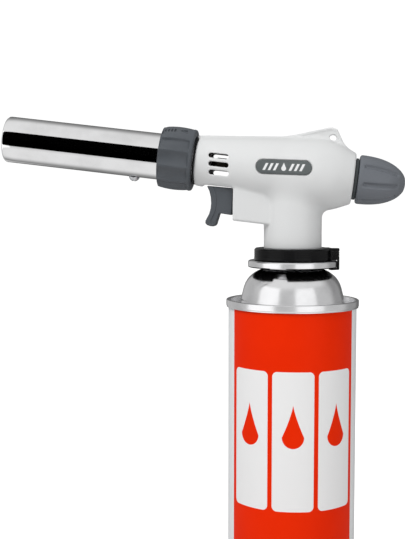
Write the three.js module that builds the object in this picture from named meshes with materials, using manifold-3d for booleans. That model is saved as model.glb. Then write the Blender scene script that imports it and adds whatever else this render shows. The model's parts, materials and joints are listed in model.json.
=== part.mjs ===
// Butane torch on a nozzle-type gas cartridge, in millimetres with +Z up.
// The cartridge stands on its bottom seam, and the flame leaves the burner towards -X.

import * as THREE from 'three';
import { mergeVertices } from 'three/addons/utils/BufferGeometryUtils.js';
import Module from 'manifold-3d';

const wasm = await Module();
wasm.setup();

// Placement
const CARTRIDGE_X = 47.2; // cartridge axis, from the middle of the whole length
const BARREL_Z = 229; // where the barrel's axis crosses the cartridge's axis
const BARREL_TILT = THREE.MathUtils.degToRad(6.7); // the barrel rises towards the flame
const TRIGGER_X = -30; // rear end of the trigger's own axis
const TRIGGER_Z = 214.5;
const GAP = 0.3; // clearance between neighbouring pieces

// Cartridge
const CAN_RADIUS = 32.85;
const CAN_WALL = 1;
const SEAM_RADIUS = 34;
const SEAM_HEIGHT = 3.6;
const TOP_SEAM_Z = 160.3;
const CUP_WALL = 0.8;
const FLANGE_RADIUS = 22.6;
const FLANGE_LOW = 180.5;
const FLANGE_TOP = 184.5;
const NOTCH_WIDTH = 10;
const NOTCH_AZIMUTH = THREE.MathUtils.degToRad(45);
const NOTCH_DEPTH_RADIUS = 18.2;
const STEM_TOP = 187;

// Bayonet collar
const COLLAR_RADIUS = 19.45;
const COLLAR_LOW = 184.9;
const COLLAR_TOP = 189.7;
const COLLAR_BORE = 6.4;
const HOOK_RADIUS = 24.4;
const HOOK_HALF_ANGLE = THREE.MathUtils.degToRad(10);
const COLLAR_SCREW_CIRCLE = 9.4;
const COLLAR_SCREWS = 3;

// Body shells
const WALL = 1.8;
const COLUMN_RADIUS = 14.8;
const COLUMN_LOW = 190;
const BODY_FRONT = -49.5;
const BODY_REAR = 30.7;
const FRONT_RADIUS = 12.6;
const SHOULDER_AT = 13;
const SHOULDER_RADIUS = 18.3;
const REAR_RADIUS = 13;
const HOUSING_HALF = 9.8;
const FIN_HALF = 3;
const HANGING_HOLE = 1.9;
const SPLIT = 0.15; // half the gap between the two shells
const SLOTS_X = -37;
const SLOTS_Z = 233;
const SLOT_LENGTH = 10.3;
const SLOT_HEIGHT = 2.6;
const SLOT_PITCH = 4.2;
const BADGE_X = -4.2;
const BADGE_Z = 231;
const BADGE_LENGTH = 27.6;
const BADGE_HEIGHT = 6.9;
const BADGE_TILT = THREE.MathUtils.degToRad(2.4);
const SCREW_PLACES = [[-38, 242.4], [12, 240], [9.6, 207], [-20.5, 206.2]]; // X and Z of each body screw
const SCREW_SEAT = 6; // how far behind the parting plane a body screw's head sits
const SCREW_SHANK = 1.2;
const SCREW_HEAD = 2.3;

// Burner
const TUBE_RADIUS = 11.95;
const TUBE_WALL = 0.8;
const TUBE_FRONT = -150.7;
const TUBE_REAR = -60.3;
const SLEEVE_RADIUS = 10.6;
const SLEEVE_FRONT = -90;
const SLEEVE_REAR = -45.5;
const RING_FRONT = -68.4;
const RING_REAR = -51;
const RING_REAR_RADIUS = 15.9;
const RING_RADIUS = 16.5;
const RING_FLUTES = 12;
const RING_FLUTE_RADIUS = 6;
const RING_FLUTE_DEPTH = 0.6;
const TUBE_SCREW_AT = -81.5;
const HOLDER_FRONT = -101.5;
const HOLDER_REAR = -97;
const ELECTRODE_DROP = -6.8; // electrode line, below the barrel's axis
const JET_REAR = -34.3;
const JET_TIP = -42;

// Valve and knob
const VALVE_RADIUS = 7;
const VALVE_FRONT = -8;
const VALVE_REAR = 27;
const PILLAR_RADIUS = 6.2;
const SPINDLE_RADIUS = 2.2;
const SPINDLE_REAR = 44;
const NECK_RADIUS = 10.5;
const KNOB_RADIUS = 12.4;
const KNOB_BASE = 32.7;
const KNOB_TIP = 56.9;
const KNOB_STEPS = 12;
const KNOB_BLUNTNESS = 2.38;
const KNOB_GROOVES = 8;
const KNOB_GROOVE_TURN = THREE.MathUtils.degToRad(12); // a groove is this far below level

// Trigger and ignition
const TRIGGER_HALF = 6.5;
const POCKET_DEPTH = 6.5;
const UNIT_FRONT = 6;
const UNIT_REAR = 22;

// Number of sides on round shapes
const FINE = 32;
const MEDIUM = 24;
const SMALL = 14;
const TINY = 8;

// ---------------------------------------------------------------- solids

function indexWithoutFlatTriangles(index) {
  const kept = [];
  for (let i = 0; i < index.length; i += 3) {
    const [a, b, c] = [index[i], index[i + 1], index[i + 2]];
    if (a !== b && b !== c && c !== a) kept.push(a, b, c);
  }
  return kept;
}

function signedVolume(position, index) {
  const corner = [new THREE.Vector3(), new THREE.Vector3(), new THREE.Vector3()];
  let total = 0;
  for (let i = 0; i < index.length; i += 3) {
    corner.forEach((point, k) => point.fromArray(position, 3 * index[i + k]));
    total += corner[0].dot(corner[1].cross(corner[2]));
  }
  return total;
}

// A closed geometry as a manifold solid with its faces pointing out.
function solid(geometry) {
  const bare = geometry.clone();
  bare.deleteAttribute('normal');
  bare.deleteAttribute('uv');
  const merged = mergeVertices(bare, 1e-4);
  const position = Float32Array.from(merged.attributes.position.array);
  const index = indexWithoutFlatTriangles(merged.index.array);
  if (signedVolume(position, index) < 0) index.reverse();
  return new wasm.Manifold(new wasm.Mesh({
    numProp: 3,
    vertProperties: position,
    triVerts: Uint32Array.from(index),
  }));
}

function geometryOf(body) {
  const mesh = body.getMesh();
  const geometry = new THREE.BufferGeometry();
  geometry.setAttribute('position', new THREE.BufferAttribute(Float32Array.from(mesh.vertProperties), 3));
  geometry.setIndex(new THREE.BufferAttribute(Uint32Array.from(mesh.triVerts), 1));
  geometry.computeVertexNormals();
  return geometry;
}

function joined(bodies) {
  return bodies.reduce((whole, body) => whole.add(body));
}

function cut(body, tools) {
  return tools.reduce((left, tool) => left.subtract(tool), body);
}

// ---------------------------------------------------------------- shapes

// Turned shapes take a profile of [radius, height] points, which closes on the axis or on itself.
function turned(profile, sides) {
  const points = profile.map(([radius, height]) => new THREE.Vector2(radius, height));
  if (profile[0][0] > 0) points.push(points[0].clone());
  return new THREE.LatheGeometry(points, sides);
}

function turnedZ(profile, sides) {
  return solid(turned(profile, sides).rotateX(Math.PI / 2));
}

function turnedX(profile, sides) {
  return solid(turned(profile, sides).rotateZ(-Math.PI / 2));
}

function rod(radius, low, high) {
  return [[0, low], [radius, low], [radius, high], [0, high]];
}

function tube(inner, outer, low, high) {
  return [[inner, low], [outer, low], [outer, high], [inner, high]];
}

// A pressed sheet: the outside line as [radius, height] points, with its wall on the left of it.
function sheet(line, wall) {
  const inside = line.map((point, i) => {
    const before = line[Math.max(i - 1, 0)];
    const after = line[Math.min(i + 1, line.length - 1)];
    const into = new THREE.Vector2(point[0] - before[0], point[1] - before[1]).normalize();
    const out = new THREE.Vector2(after[0] - point[0], after[1] - point[1]).normalize();
    if (i === 0) into.copy(out);
    if (i === line.length - 1) out.copy(into);
    const along = into.clone().add(out).normalize();
    const reach = wall / Math.max(along.dot(out), 0.5);
    return [Math.max(point[0] - along.y * reach, 0), point[1] + along.x * reach];
  });
  if (line[0][0] === 0) inside[0][0] = 0;
  return [...line, ...inside.reverse()];
}

// An outline of [x, z] points, or a ready shape, extruded along Y from one depth to another.
function plate(outline, from, to) {
  const shape = outline instanceof THREE.Shape
    ? outline
    : new THREE.Shape(outline.map(([x, z]) => new THREE.Vector2(x, z)));
  const geometry = new THREE.ExtrudeGeometry(shape, {
    depth: to - from,
    bevelEnabled: false,
    curveSegments: 6,
  });
  return solid(geometry.rotateX(Math.PI / 2).translate(0, to, 0));
}

function pillShape(length, height) {
  const end = length / 2 - height / 2;
  const shape = new THREE.Shape();
  shape.moveTo(-end, -height / 2);
  shape.lineTo(end, -height / 2);
  shape.absarc(end, 0, height / 2, -Math.PI / 2, Math.PI / 2, false);
  shape.lineTo(-end, height / 2);
  shape.absarc(-end, 0, height / 2, Math.PI / 2, 1.5 * Math.PI, false);
  return shape;
}

function box(low, high) {
  const size = high.map((value, i) => value - low[i]);
  const middle = high.map((value, i) => (value + low[i]) / 2);
  return solid(new THREE.BoxGeometry(...size).translate(...middle));
}

function rodY(radius, x, z, from, to, sides = SMALL) {
  return solid(turned(rod(radius, from, to), sides).translate(x, 0, z));
}

function rodZ(radius, x, y, low, high, sides = SMALL) {
  return turnedZ(rod(radius, low, high), sides).translate([x, y, 0]);
}

function rodX(radius, y, z, from, to, sides = SMALL) {
  return turnedX(rod(radius, from, to), sides).translate([0, y, z]);
}

// A round bar or pipe along a curve.
function bar(curve, steps, radius, sides, bore = 0) {
  const shape = new THREE.Shape();
  for (let i = 0; i < sides; i += 1) {
    const turn = (2 * Math.PI * i) / sides;
    const point = [radius * Math.cos(turn), radius * Math.sin(turn)];
    if (i === 0) shape.moveTo(...point);
    else shape.lineTo(...point);
  }
  shape.closePath();
  if (bore > 0) {
    const hole = new THREE.Path();
    hole.absarc(0, 0, bore, 0, 2 * Math.PI, true);
    shape.holes.push(hole);
  }
  return solid(new THREE.ExtrudeGeometry(shape, { steps, extrudePath: curve, curveSegments: 4 }));
}

class Helix extends THREE.Curve {
  constructor(radius, low, high, turns) {
    super();
    Object.assign(this, { radius, low, high, turns });
  }

  getPoint(t, target = new THREE.Vector3()) {
    const angle = 2 * Math.PI * this.turns * t;
    const height = this.low + (this.high - this.low) * t;
    return target.set(this.radius * Math.cos(angle), this.radius * Math.sin(angle), height);
  }
}

function spring(radius, wire, low, high, turns) {
  return bar(new Helix(radius, low, high, turns), turns * 10, wire, 5);
}

// A three.js matrix as the sixteen numbers that a manifold solid takes.
function placed(body, matrix) {
  return body.transform(matrix.toArray());
}

function barrelMatrix() {
  const matrix = new THREE.Matrix4().makeRotationY(BARREL_TILT);
  return matrix.setPosition(0, 0, BARREL_Z);
}

function triggerMatrix() {
  const matrix = new THREE.Matrix4().makeRotationY(BARREL_TILT);
  return matrix.setPosition(TRIGGER_X, 0, TRIGGER_Z);
}

// ---------------------------------------------------------------- materials

function material(color, roughness, metalness) {
  return new THREE.MeshStandardMaterial({ color, roughness, metalness });
}

const MATERIALS = {
  tinplate: () => material('#c9cbcd', 0.25, 1),
  lacquer: () => material('#e83200', 0.35, 0),
  whitePlastic: () => material('#dfe0e0', 0.45, 0),
  greyPlastic: () => material('#6b7076', 0.5, 0),
  slatePlastic: () => material('#565a5f', 0.5, 0),
  darkPlastic: () => material('#3c4043', 0.5, 0),
  blackPlastic: () => material('#121214', 0.4, 0),
  chrome: () => material('#d8d8d8', 0.08, 1),
  steel: () => material('#a8abae', 0.35, 1),
  brass: () => material('#b9953f', 0.3, 1),
  zinc: () => material('#9b9ea2', 0.45, 1),
  rubber: () => material('#1b1b1b', 0.8, 0),
  ceramic: () => material('#efeae0', 0.4, 0),
  cableRed: () => material('#9c1f1a', 0.5, 0),
};

function piece(name, body, finish) {
  const mesh = new THREE.Mesh(geometryOf(body), MATERIALS[finish]());
  mesh.name = name;
  return mesh;
}

// ---------------------------------------------------------------- cartridge

function canBody() {
  const wall = tube(CAN_RADIUS - CAN_WALL, CAN_RADIUS, SEAM_HEIGHT + GAP, TOP_SEAM_Z - GAP);
  return piece('can_body', turnedZ(wall, FINE), 'lacquer');
}

// The base is pushed up in the middle and stands on its seam.
function canBase() {
  const line = [[0, 10], [12, 9.2], [24, 6.2], [29.6, 3.4], [30.6, 0], [33.8, 0], [34, 0.2],
    [SEAM_RADIUS, SEAM_HEIGHT]];
  return piece('can_base', turnedZ(sheet(line, CAN_WALL), FINE), 'tinplate');
}

// Seam, countersunk channel, dome and the curl that the valve cup grips.
function canDome() {
  const line = [[SEAM_RADIUS, TOP_SEAM_Z], [SEAM_RADIUS, TOP_SEAM_Z + SEAM_HEIGHT], [31, 163.9],
    [30, 159.9], [27.3, 159.9], [26.2, 163.8], [25.2, 169.5], [23.9, 173], [21.9, 175.4],
    [19.3, 177.7], [16.6, 179.1], [15.4, 180.3], [15, 182], [13.3, 182]];
  return piece('can_dome', turnedZ(sheet(line, CAN_WALL), FINE), 'tinplate');
}

function valveCup() {
  const line = [[16.3, 180.6], [16.3, 182.9], [15.7, 183.4], [11.9, 183.4], [11.9, 176.2],
    [6, 176.2], [5, 181.6], [2.6, 181.6]];
  return piece('can_valve_cup', turnedZ(sheet(line, CUP_WALL), FINE), 'tinplate');
}

// The flange that the torch locks on, with the notch that lets the torch's hook through.
function canFlange() {
  const line = [[FLANGE_RADIUS, FLANGE_LOW], [FLANGE_RADIUS, FLANGE_TOP - 0.4],
    [FLANGE_RADIUS - 0.4, FLANGE_TOP], [17.8, FLANGE_TOP], [17.1, FLANGE_TOP - 0.7], [17.1, 181]];
  const notch = box([NOTCH_DEPTH_RADIUS, -NOTCH_WIDTH / 2, FLANGE_LOW - 2],
    [FLANGE_RADIUS + 4, NOTCH_WIDTH / 2, FLANGE_TOP + 2]);
  const turn = new THREE.Matrix4().makeRotationZ(NOTCH_AZIMUTH);
  const body = turnedZ(sheet(line, CUP_WALL), FINE).subtract(placed(notch, turn));
  return piece('can_flange', body, 'tinplate');
}

function canValveHousing() {
  const profile = [[0.9, 163], [3.8, 163], [3.8, 179.5], [2.8, 179.5], [2.8, 165], [0.9, 165]];
  return piece('can_valve_housing', turnedZ(profile, SMALL), 'whitePlastic');
}

function canGasket() {
  return piece('can_valve_gasket', turnedZ(tube(2.2, 3.8, 179.8, 180.5), SMALL), 'rubber');
}

function canValveStem() {
  const profile = [[0, 172], [1.2, 172], [1.2, 176], [2.5, 176], [2.5, 178.8], [1.9, 178.8],
    [1.9, STEM_TOP], [0.8, STEM_TOP], [0.8, 178], [0, 178]];
  return piece('can_valve_stem', turnedZ(profile, SMALL), 'whitePlastic');
}

function canValveSpring() {
  return piece('can_valve_spring', spring(2, 0.3, 165.8, 175.2, 5), 'steel');
}

// The pick-up tube turns up to the notch side, so that gas and not liquid is drawn with the can on its side.
function pickupTube() {
  const reach = (distance, height) => new THREE.Vector3(
    distance * Math.cos(NOTCH_AZIMUTH),
    distance * Math.sin(NOTCH_AZIMUTH),
    height,
  );
  const points = [reach(0, 162.6), reach(0, 155), reach(2.5, 150), reach(9, 148.5), reach(18, 150),
    reach(24, 153), reach(28, 157)];
  const curve = new THREE.CatmullRomCurve3(points);
  return piece('gas_pickup_tube', bar(curve, 18, 1.6, 8, 0.9), 'whitePlastic');
}

function cartridge() {
  const group = new THREE.Group();
  group.add(canBody(), canBase(), canDome(), valveCup(), canFlange(), canValveHousing(), canGasket());
  group.add(canValveStem(), canValveSpring(), pickupTube());
  return group;
}

// ---------------------------------------------------------------- body shells

// The barrel of the body, grown or shrunk by an offset.
function barrelForm(offset) {
  const profile = [[0, BODY_FRONT - offset], [FRONT_RADIUS + offset, BODY_FRONT - offset],
    [SHOULDER_RADIUS + offset, SHOULDER_AT], [REAR_RADIUS + offset, BODY_REAR + offset],
    [0, BODY_REAR + offset]];
  return placed(turnedX(profile, FINE), barrelMatrix());
}

function columnForm(offset) {
  return rodZ(COLUMN_RADIUS + offset, 0, 0, COLUMN_LOW, BARREL_Z, FINE);
}

function housingForm(offset) {
  const outline = [[-30 - offset, 224], [-31.1 - offset, 204.4 - offset], [-12, 202.3 - offset],
    [-5, 202.3 - offset], [-5, 224]];
  return plate(outline, -HOUSING_HALF - offset, HOUSING_HALF + offset);
}

// The flat under the barrel that the trigger slides along.
function triggerRecess(offset) {
  const outline = [[-44.8, 190], [-44.8 - offset, 222.2], [-44.2 - offset, 222.6 + offset],
    [-30.2, 221.3 + offset], [-30.2, 190]];
  return plate(outline, -30, 30);
}

function fin() {
  const outline = [[-28, 240], [-26, 246.6], [-5.4, 246.6], [17.5, 251], [19.4, 251.1], [21.8, 250.2],
    [28, 239.4], [25, 230], [0, 230]];
  const hole = rodY(HANGING_HOLE, 19.8, 246.1, -10, 10, SMALL);
  return plate(outline, -FIN_HALF, FIN_HALF).subtract(hole);
}

function outerForm() {
  const barrel = barrelForm(0).subtract(triggerRecess(0));
  return joined([barrel, columnForm(0), housingForm(0), fin()]);
}

function innerForm() {
  const barrel = barrelForm(-WALL).subtract(triggerRecess(WALL));
  return joined([barrel, columnForm(-WALL), housingForm(-WALL)]);
}

function pill(length, height, tilt, x, z, from, to) {
  const turn = new THREE.Matrix4().makeRotationY(tilt).setPosition(x, 0, z);
  return placed(plate(pillShape(length, height), from, to), turn);
}

// Three slots on each side let air in to the jet.
function airSlots() {
  const slots = [];
  for (let i = -1; i <= 1; i += 1) {
    const z = SLOTS_Z + i * SLOT_PITCH;
    slots.push(pill(SLOT_LENGTH, SLOT_HEIGHT, BARREL_TILT, SLOTS_X, z, -30, 30));
  }
  return slots;
}

function badgePrism(margin) {
  return pill(BADGE_LENGTH + 2 * margin, BADGE_HEIGHT + 2 * margin, BADGE_TILT, BADGE_X, BADGE_Z, -25, -5);
}

// Posts for the body screws, with the holes for their shanks and heads.
function screwPosts() {
  const posts = SCREW_PLACES.flatMap(([x, z]) => [
    rodY(2.4, x, z, -SCREW_SEAT - 3, SCREW_SEAT),
    rodY(3.5, x, z, SCREW_SEAT - 1.2, 20),
  ]);
  return joined(posts);
}

function screwHoles() {
  return SCREW_PLACES.flatMap(([x, z]) => [
    rodY(SCREW_SHANK + 0.25, x, z, -SCREW_SEAT - 1.5, SCREW_SEAT + 1, TINY),
    rodY(SCREW_HEAD + 0.3, x, z, SCREW_SEAT, 30, SMALL),
  ]);
}

// A web across the rear of the barrel that carries the valve.
function valveCradle() {
  const web = solid(new THREE.BoxGeometry(2, 60, 26).translate(21, 0, 2));
  const bore = rodX(VALVE_RADIUS + GAP, 0, 0, 10, 30);
  return placed(web.subtract(bore), barrelMatrix());
}

function bodyCuts() {
  const frontBore = placed(rodX(SLEEVE_RADIUS + GAP, 0, 0, BODY_FRONT - 5, BODY_FRONT + 5, MEDIUM),
    barrelMatrix());
  const rearBore = placed(rodX(VALVE_RADIUS + GAP, 0, 0, BODY_REAR - 5, BODY_REAR + 5), barrelMatrix());
  const sleeveSeat = placed(rodX(11.5, 0, 0, -47.5, -45.2, MEDIUM), barrelMatrix());
  const columnMouth = rodZ(COLUMN_RADIUS - WALL, 0, 0, COLUMN_LOW - 5, COLUMN_LOW + 5, FINE);
  const triggerMouth = box([-34, -TRIGGER_HALF - GAP, 205.9], [-27, TRIGGER_HALF + GAP, 221.4]);
  return [frontBore, rearBore, sleeveSeat, columnMouth, triggerMouth, ...airSlots(), ...screwHoles()];
}

function wholeShell() {
  const outer = outerForm();
  const inner = innerForm();
  const inside = screwPosts().add(valveCradle()).intersect(outer);
  const badgePocket = badgePrism(0.35).subtract(barrelForm(-0.8));
  return cut(outer.subtract(inner).add(inside), [...bodyCuts(), badgePocket]);
}

function shells() {
  const whole = wholeShell();
  const left = whole.intersect(box([-200, -60, 100], [200, -SPLIT, 300]));
  const right = whole.intersect(box([-200, SPLIT, 100], [200, 60, 300]));
  return [piece('left_shell', left, 'whitePlastic'), piece('right_shell', right, 'whitePlastic')];
}

function badge() {
  const body = badgePrism(0).intersect(barrelForm(0.3)).subtract(barrelForm(-0.5));
  return piece('badge', body, 'darkPlastic');
}

function bodyScrews() {
  return SCREW_PLACES.map(([x, z], i) => {
    const head = rodY(SCREW_HEAD, x, z, SCREW_SEAT + 0.1, SCREW_SEAT + 1.7, TINY);
    const shank = rodY(SCREW_SHANK, x, z, -SCREW_SEAT, SCREW_SEAT + 1, TINY);
    return piece(`body_screw_${i + 1}`, head.add(shank), 'steel');
  });
}

// ---------------------------------------------------------------- collar and inlet

function wedge(halfAngle, low, high) {
  const far = 60;
  const shape = new THREE.Shape();
  shape.moveTo(0, 0);
  shape.lineTo(far * Math.cos(halfAngle), -far * Math.sin(halfAngle));
  shape.lineTo(far * Math.cos(halfAngle), far * Math.sin(halfAngle));
  const geometry = new THREE.ExtrudeGeometry(shape, { depth: high - low, bevelEnabled: false });
  return solid(geometry.translate(0, 0, low));
}

// The hook reaches out over the cartridge's flange, down past it and back in below it.
function hook() {
  const profile = [[COLLAR_RADIUS - 2, COLLAR_LOW], [FLANGE_RADIUS + 0.4, COLLAR_LOW],
    [FLANGE_RADIUS + 0.4, FLANGE_LOW - 0.35], [18.6, FLANGE_LOW - 0.35], [18.6, 179.3], [20, 178.9],
    [HOOK_RADIUS, 179.2], [HOOK_RADIUS, COLLAR_TOP - 0.5], [HOOK_RADIUS - 0.5, COLLAR_TOP],
    [COLLAR_RADIUS - 2, COLLAR_TOP]];
  return turnedZ(profile, 2 * FINE).intersect(wedge(HOOK_HALF_ANGLE, 170, 200));
}

function collarScrewPlaces() {
  const places = [];
  for (let i = 0; i < COLLAR_SCREWS; i += 1) {
    const turn = Math.PI / 2 + (2 * Math.PI * i) / COLLAR_SCREWS;
    places.push([COLLAR_SCREW_CIRCLE * Math.cos(turn), COLLAR_SCREW_CIRCLE * Math.sin(turn)]);
  }
  return places;
}

function bayonetCollar() {
  const profile = [[COLLAR_BORE, COLLAR_LOW], [COLLAR_RADIUS, COLLAR_LOW], [COLLAR_RADIUS, COLLAR_TOP - 1],
    [COLLAR_RADIUS - 1, COLLAR_TOP], [COLLAR_BORE, COLLAR_TOP]];
  const holes = collarScrewPlaces().flatMap(([x, y]) => [
    rodZ(1.5, x, y, COLLAR_LOW - 1, COLLAR_TOP + 1, TINY),
    rodZ(2.6, x, y, COLLAR_LOW - 1, COLLAR_LOW + 2, TINY),
  ]);
  const body = cut(turnedZ(profile, FINE).add(hook()), holes);
  return piece('bayonet_collar', body, 'blackPlastic');
}

function collarScrews() {
  return collarScrewPlaces().map(([x, y], i) => {
    const head = rodZ(2.3, x, y, COLLAR_LOW + 0.3, COLLAR_LOW + 1.9, TINY);
    const shank = rodZ(1.2, x, y, COLLAR_LOW + 1, 193.5, TINY);
    return piece(`collar_screw_${i + 1}`, head.add(shank), 'steel');
  });
}

function inletNipple() {
  const profile = [[0.8, 196], [3.3, 196], [3.3, 189.8], [5.6, 189.8], [5.6, 185.4], [4.6, 184.2],
    [2.5, 184.2], [2.5, 188.4], [0.8, 188.4]];
  return piece('inlet_nipple', turnedZ(profile, SMALL), 'brass');
}

function inletSeal() {
  return piece('inlet_seal', turnedZ(tube(1, 2.2, 187.3, 188.1), SMALL), 'rubber');
}

// The valve casting: a base plate for the collar screws, a pillar and the valve chamber across its top.
function valveBody() {
  const pillar = turnedZ([[0, 190.2], [12.4, 190.2], [12.4, 194.5], [PILLAR_RADIUS, 197],
    [PILLAR_RADIUS, BARREL_Z], [0, BARREL_Z]], MEDIUM);
  const chamber = placed(rodX(VALVE_RADIUS, 0, 0, VALVE_FRONT, VALVE_REAR, MEDIUM), barrelMatrix());
  const channel = [rodZ(3.6, 0, 0, 185, 196.3), rodZ(1.4, 0, 0, 190, BARREL_Z, TINY)];
  const bores = [
    rodX(3.2, 0, 0, -2, 20),
    rodX(4.2, 0, 0, 18, VALVE_REAR + 5),
    rodX(0.9, 0, 0, VALVE_FRONT - 5, 0, TINY),
  ].map((tool) => placed(tool, barrelMatrix()));
  const screwHolesInBase = collarScrewPlaces().map(([x, y]) => rodZ(1.5, x, y, 185, 194, TINY));
  return piece('valve_body', cut(pillar.add(chamber), [...channel, ...bores, ...screwHolesInBase]), 'zinc');
}

// ---------------------------------------------------------------- parts on the barrel's axis

function glandNut() {
  const hexagon = turnedX(tube(SPINDLE_RADIUS + 0.4, 6.4, VALVE_REAR + GAP, 30.6), 6);
  return piece('gland_nut', hexagon, 'brass');
}

function stemSeal() {
  return piece('stem_seal', turnedX(tube(2.55, 3.9, 20.3, 22.3), SMALL), 'rubber');
}

function valveNeedle() {
  const profile = [[0, -3.5], [0.3, -3.5], [0.6, -1.5], [SPINDLE_RADIUS, 1.5], [SPINDLE_RADIUS, 8],
    [2.9, 8], [2.9, 15], [SPINDLE_RADIUS, 15], [SPINDLE_RADIUS, SPINDLE_REAR],
    [0, SPINDLE_REAR]];
  return piece('valve_needle', turnedX(profile, TINY), 'brass');
}

function knobNeck() {
  const profile = tube(3, NECK_RADIUS, BODY_REAR + GAP, KNOB_BASE - GAP);
  return piece('knob_neck', turnedX(profile, MEDIUM), 'darkPlastic');
}

// Bullet-shaped knob with a ring of long grooves.
function knob() {
  const profile = [[0, KNOB_BASE], [KNOB_RADIUS - 0.6, KNOB_BASE]];
  for (let i = 0; i <= KNOB_STEPS; i += 1) {
    const share = i === 0 ? 0.04 : i / KNOB_STEPS;
    const radius = KNOB_RADIUS * Math.sqrt(1 - share ** KNOB_BLUNTNESS);
    profile.push([radius, KNOB_BASE + share * (KNOB_TIP - KNOB_BASE)]);
  }
  const grooves = [];
  for (let i = 0; i < KNOB_GROOVES; i += 1) {
    const groove = rodX(1, 0, KNOB_RADIUS + 0.4, KNOB_BASE + 2.2, KNOB_TIP - 5, 8);
    const turn = Math.PI / 2 + KNOB_GROOVE_TURN + (2 * Math.PI * i) / KNOB_GROOVES;
    grooves.push(placed(groove, new THREE.Matrix4().makeRotationX(turn)));
  }
  const bore = rodX(SPINDLE_RADIUS + 0.3, 0, 0, KNOB_BASE - 1, SPINDLE_REAR + 2, TINY);
  return piece('knob', cut(turnedX(profile, MEDIUM), [...grooves, bore]), 'greyPlastic');
}

function gasPipe() {
  return piece('gas_pipe', turnedX(tube(1.1, 2.2, JET_REAR + GAP, VALVE_FRONT - GAP), TINY), 'brass');
}

function gasJet() {
  const profile = [[1.2, JET_REAR], [2.9, JET_REAR], [2.9, JET_TIP + 3], [1.5, JET_TIP], [0.5, JET_TIP],
    [0.5, JET_REAR - 2]];
  return piece('gas_jet', turnedX(profile, TINY), 'brass');
}

function mixingTube() {
  const profile = [[3.9, HOLDER_REAR + 0.4], [4.6, HOLDER_REAR + 0.4], [4.6, -46], [5.4, -43.6],
    [4.7, -43.6], [3.9, -46]];
  return piece('mixing_tube', turnedX(profile, SMALL), 'steel');
}

// The sleeve that carries the burner tube, with a web that centres the mixing tube.
function tubeMount() {
  const sleeve = turnedX([[9.7, SLEEVE_FRONT], [SLEEVE_RADIUS, SLEEVE_FRONT], [SLEEVE_RADIUS, -47.2],
    [11.2, -47.2], [11.2, SLEEVE_REAR], [5.8, SLEEVE_REAR], [5.8, -49], [9.7, -49]], MEDIUM);
  const ports = [0.25, 0.5, 0.75].map((turn) => {
    const port = rodX(1.4, 0, 7.8, -55, -40, 8);
    return placed(port, new THREE.Matrix4().makeRotationX(2 * Math.PI * (turn - 0.5)));
  });
  const leadHole = rodX(1.7, 0, ELECTRODE_DROP - 0.9, -55, -40, TINY);
  const screwHole = rodZ(1.5, TUBE_SCREW_AT, 0, -20, -5, TINY);
  return piece('tube_mount', cut(sleeve, [...ports, leadHole, screwHole]), 'steel');
}

function burnerTube() {
  const inner = TUBE_RADIUS - TUBE_WALL;
  const profile = [[inner, TUBE_REAR], [TUBE_RADIUS, TUBE_REAR], [TUBE_RADIUS, TUBE_FRONT + 1.2],
    [TUBE_RADIUS - 0.4, TUBE_FRONT + 0.3], [TUBE_RADIUS - 1.3, TUBE_FRONT],
    [TUBE_RADIUS - 2.1, TUBE_FRONT + 0.4],
    [TUBE_RADIUS - 2.3, TUBE_FRONT + 1.4], [inner, TUBE_FRONT + 2.2]];
  const hole = rodZ(1.5, TUBE_SCREW_AT, 0, -20, -5, TINY);
  return piece('burner_tube', turnedX(profile, FINE).subtract(hole), 'chrome');
}

function tubeScrew() {
  const profile = [[0, -9.5], [1.1, -9.5], [1.1, -12.4], [2.85, -12.4], [2.7, -13.4], [1.8, -14.2],
    [0, -14.4]];
  return piece('tube_screw', turnedZ(profile, SMALL).translate([TUBE_SCREW_AT, 0, 0]), 'steel');
}

// Perforated disc that the flame sits on.
function flameHolder() {
  const disc = turnedX(rod(10.8, HOLDER_FRONT, HOLDER_REAR), MEDIUM);
  const around = (count, radius, hole) => {
    const tools = [];
    for (let i = 1; i < count; i += 1) {
      const turn = new THREE.Matrix4().makeRotationX((2 * Math.PI * i) / count);
      tools.push(placed(rodX(hole, 0, -radius, -110, -90, 8), turn));
    }
    return tools;
  };
  const centre = rodX(2.4, 0, 0, -110, -90, TINY);
  const electrodeHole = rodX(2, 0, ELECTRODE_DROP, -110, -90, TINY);
  return piece('flame_holder', cut(disc, [...around(8, 7.6, 1.4), centre, electrodeHole]), 'brass');
}

function electrodeInsulator() {
  const profile = tube(0.85, 1.5, -94, -51);
  const sleeve = turnedX(profile, TINY).translate([0, 0, ELECTRODE_DROP - 0.9]);
  return piece('electrode_insulator', sleeve, 'ceramic');
}

// The spark wire, bent up in front of the flame holder.
function electrode() {
  const line = ELECTRODE_DROP - 0.9;
  const points = [[-46, line], [-70, line], [-95, line], [-102, line], [-105, line + 0.6],
    [-106.5, line + 3]];
  const curve = new THREE.CatmullRomCurve3(points.map(([x, z]) => new THREE.Vector3(x, 0, z)));
  return piece('electrode', bar(curve, 14, 0.5, 6), 'steel');
}

// Grip ring with broad flutes and a raised lug on top.
function airRing() {
  const profile = [[10.95, -59.5], [12.3, -59.5], [12.3, RING_FRONT], [RING_RADIUS - 1, RING_FRONT],
    [RING_RADIUS, RING_FRONT + 1], [RING_REAR_RADIUS, RING_REAR - 1], [RING_REAR_RADIUS - 1, RING_REAR],
    [10.95, RING_REAR]];
  const flutes = [];
  for (let i = 0; i < RING_FLUTES; i += 1) {
    const height = RING_RADIUS - RING_FLUTE_DEPTH + RING_FLUTE_RADIUS;
    const flute = rodX(RING_FLUTE_RADIUS, 0, height, RING_FRONT + 2, RING_REAR - 1.5, MEDIUM);
    const turn = new THREE.Matrix4().makeRotationX((2 * Math.PI * (i + 0.5)) / RING_FLUTES);
    flutes.push(placed(flute, turn));
  }
  return piece('air_ring', cut(turnedX(profile, FINE), flutes), 'slatePlastic');
}

function ringWasher() {
  return piece('ring_washer', turnedX(tube(10.95, 13, -50.35, -49.85), MEDIUM), 'blackPlastic');
}

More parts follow.
